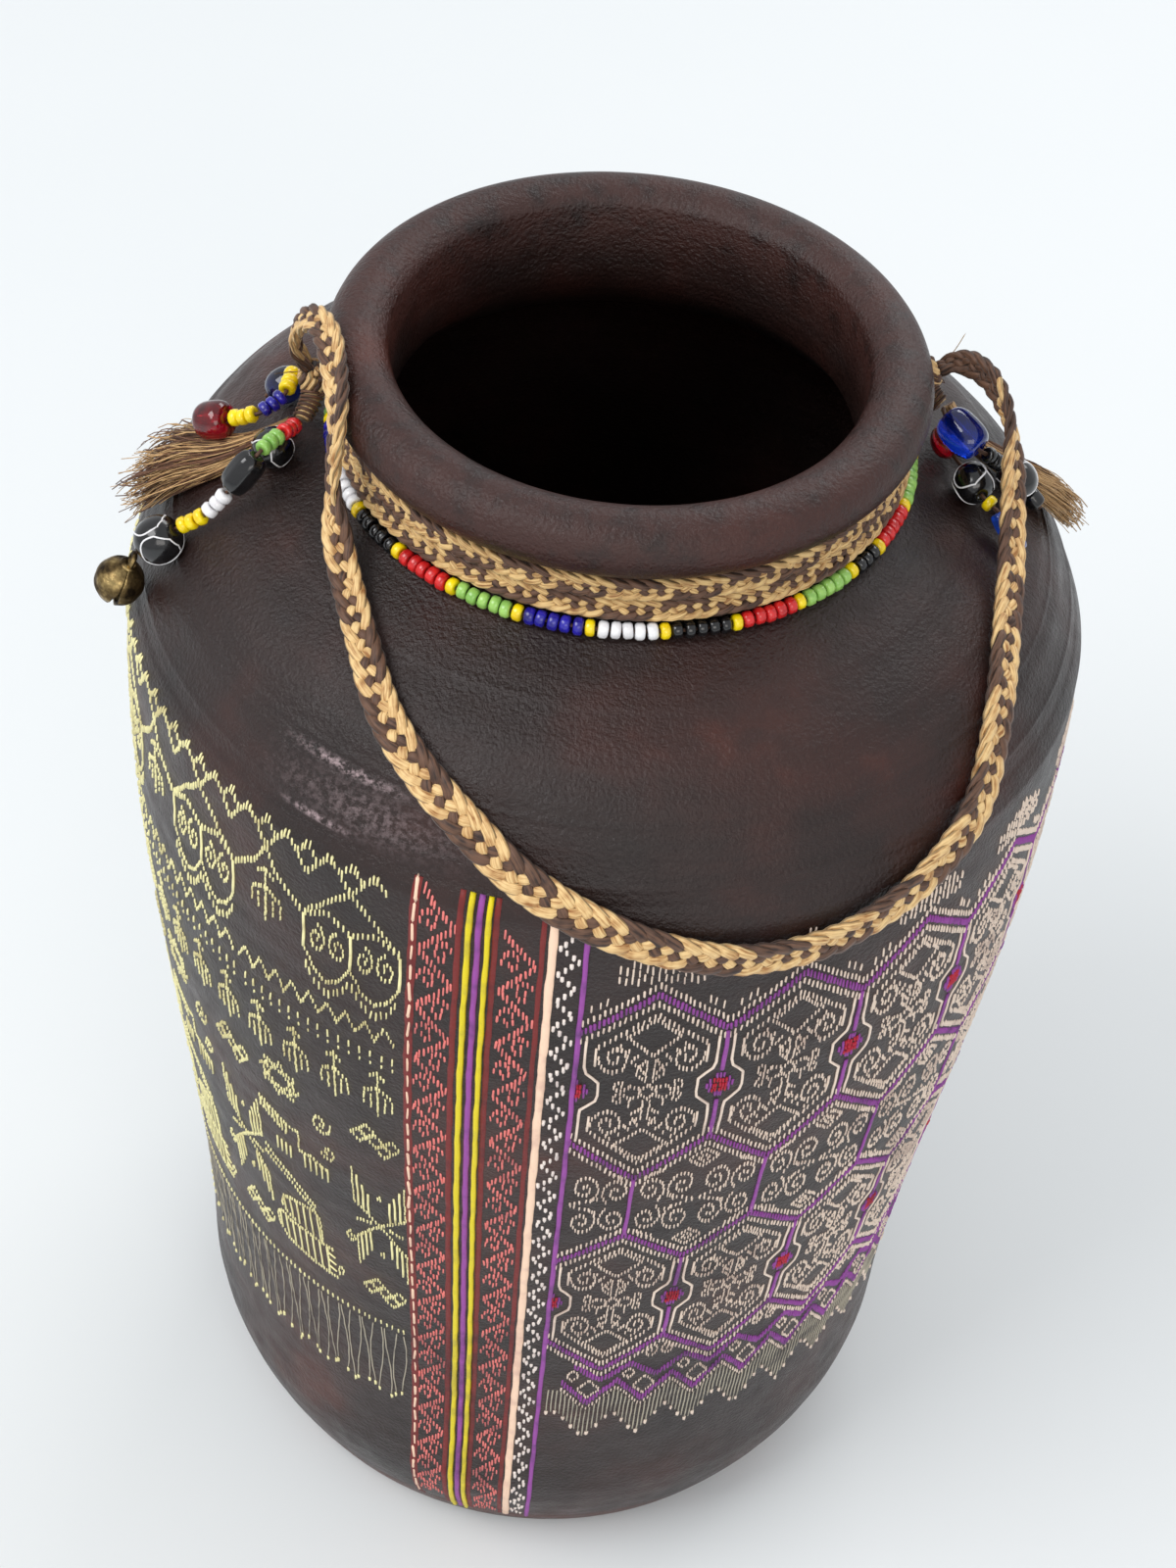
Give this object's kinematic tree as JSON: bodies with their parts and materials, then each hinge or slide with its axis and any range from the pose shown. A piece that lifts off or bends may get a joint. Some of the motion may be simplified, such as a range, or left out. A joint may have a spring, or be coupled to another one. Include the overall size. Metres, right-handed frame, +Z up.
{
  "type": "pottery vase",
  "caption": "Tall burnished terracotta jar with painted woven-cloth patterns, a cord-wound neck with a bead string, a braided carrying strap and hung beads, bell and tassels.",
  "frame": {"origin": "centre of the jar's flat underside", "axes": "+Z up along the jar's axis, -Y towards the front where the strap hangs, +X to the right seen from the front"},
  "size_m": [0.2277, 0.2302, 0.3588],
  "materials": {
    "slip": "burnished dark brown slip with raised painted patterns",
    "raffia": "plaited plant fibre, tan with dark brown strands",
    "thread": "twisted brown thread",
    "fibre": "loose tan and brown fibre",
    "red_bead": "opaque gloss",
    "green_bead": "opaque gloss",
    "blue_bead": "opaque gloss",
    "white_bead": "opaque gloss",
    "black_bead": "opaque gloss",
    "yellow_bead": "opaque gloss",
    "swirl_bead": "gloss black with white trailed lines",
    "red_glass": "clear pressed glass",
    "blue_glass": "clear pressed glass",
    "dark_blue_glass": "clear pressed glass",
    "brass": "aged cast"
  },
  "bodies": {
    "jar": {"vase_body": "slip", "neck_cord": "raffia", "left_knot": "raffia", "right_knot": "raffia", "neck_bead_thread": "yellow_bead", "neck_beads_01_red": "red_bead", "neck_beads_02_green": "green_bead", "neck_beads_03_blue": "blue_bead", "neck_beads_04_white": "white_bead", "neck_beads_05_black": "black_bead", "neck_beads_06_red": "red_bead", "neck_beads_07_green": "green_bead", "neck_beads_08_black": "black_bead", "neck_beads_09_red": "red_bead", "neck_beads_10_green": "green_bead", "neck_beads_11_white": "white_bead", "neck_beads_12_black": "black_bead", "neck_beads_13_red": "red_bead", "neck_beads_14_green": "green_bead", "neck_beads_15_blue": "blue_bead", "neck_beads_16_white": "white_bead", "neck_beads_17_black": "black_bead", "neck_beads_18_red": "red_bead", "neck_beads_19_green": "green_bead", "neck_beads_20_blue": "blue_bead", "neck_beads_21_white": "white_bead", "neck_beads_22_red": "red_bead", "neck_beads_23_green": "green_bead", "neck_beads_24_blue": "blue_bead", "neck_beads_25_white": "white_bead", "neck_beads_26_black": "black_bead", "left_swirl_bead": "swirl_bead", "left_tassel": "fibre", "right_tassel": "fibre", "right_red_thread": "thread", "small_red_glass_bead": "red_glass", "right_inner_swirl_bead": "swirl_bead", "right_yellow_seed": "yellow_bead", "long_blue_glass_bead": "blue_glass"},
    "strap": {"carry_strap": "raffia"},
    "dark_blue_bead": {"dark_blue_glass_bead": "dark_blue_glass"},
    "left_long_strand": {"left_long_thread": "thread", "left_red_seeds": "red_bead", "left_green_seeds": "green_bead", "black_barrel_bead": "black_bead", "left_white_seeds": "white_bead", "left_yellow_seeds": "yellow_bead", "trail_bead": "swirl_bead"},
    "bell": {"bell_shell": "brass"},
    "pellet": {"bell_pellet": "brass"},
    "left_glass_strand": {"left_glass_thread": "thread", "left_upper_seeds": "yellow_bead", "left_blue_seeds": "blue_bead", "left_lower_seeds": "yellow_bead", "red_glass_bead": "red_glass"},
    "right_blue_strand": {"right_blue_thread": "thread", "blue_glass_bead": "blue_glass", "right_black_seeds": "black_bead", "right_outer_swirl_bead": "swirl_bead", "small_black_bead": "black_bead"}
  },
  "joints": [
    {"name": "strap_lift", "type": "hinge", "parent": "jar", "child": "strap", "pos_m": [-0.00063, 0.00978, 0.337], "axis": [-0.9921, -0.1238, -0.021], "range_deg": [0, 110], "deforming": ["carry_strap"]},
    {"name": "long_strand_lift", "type": "hinge", "parent": "jar", "child": "left_long_strand", "pos_m": [-0.07192, -0.00985, 0.3278], "axis": [-0.5643, 0.8255, 0], "range_deg": [0, 50]},
    {"name": "bell_swing", "type": "hinge", "parent": "left_long_strand", "child": "bell", "pos_m": [-0.10651, -0.03014, 0.30084], "axis": [-0.1224, 0.9925, 0], "range_deg": [0, 60]},
    {"name": "pellet_slide", "type": "slide", "parent": "bell", "child": "pellet", "axis": [0.4369, 0.0539, 0.8979], "range_m": [0, 0.005]},
    {"name": "dark_bead_lift", "type": "hinge", "parent": "jar", "child": "dark_blue_bead", "pos_m": [-0.0742, 0.0091, 0.3276], "axis": [-0.2375, 0.9714, 0], "range_deg": [0, 25]},
    {"name": "glass_strand_lift", "type": "hinge", "parent": "jar", "child": "left_glass_strand", "pos_m": [-0.07516, 0.00658, 0.33011], "axis": [-0.5327, 0.8463, 0], "range_deg": [0, 24]},
    {"name": "blue_strand_lift", "type": "hinge", "parent": "jar", "child": "right_blue_strand", "pos_m": [0.07156, 0.01057, 0.33371], "axis": [-0.2819, -0.9594, 0], "range_deg": [0, 45]}
  ]
}
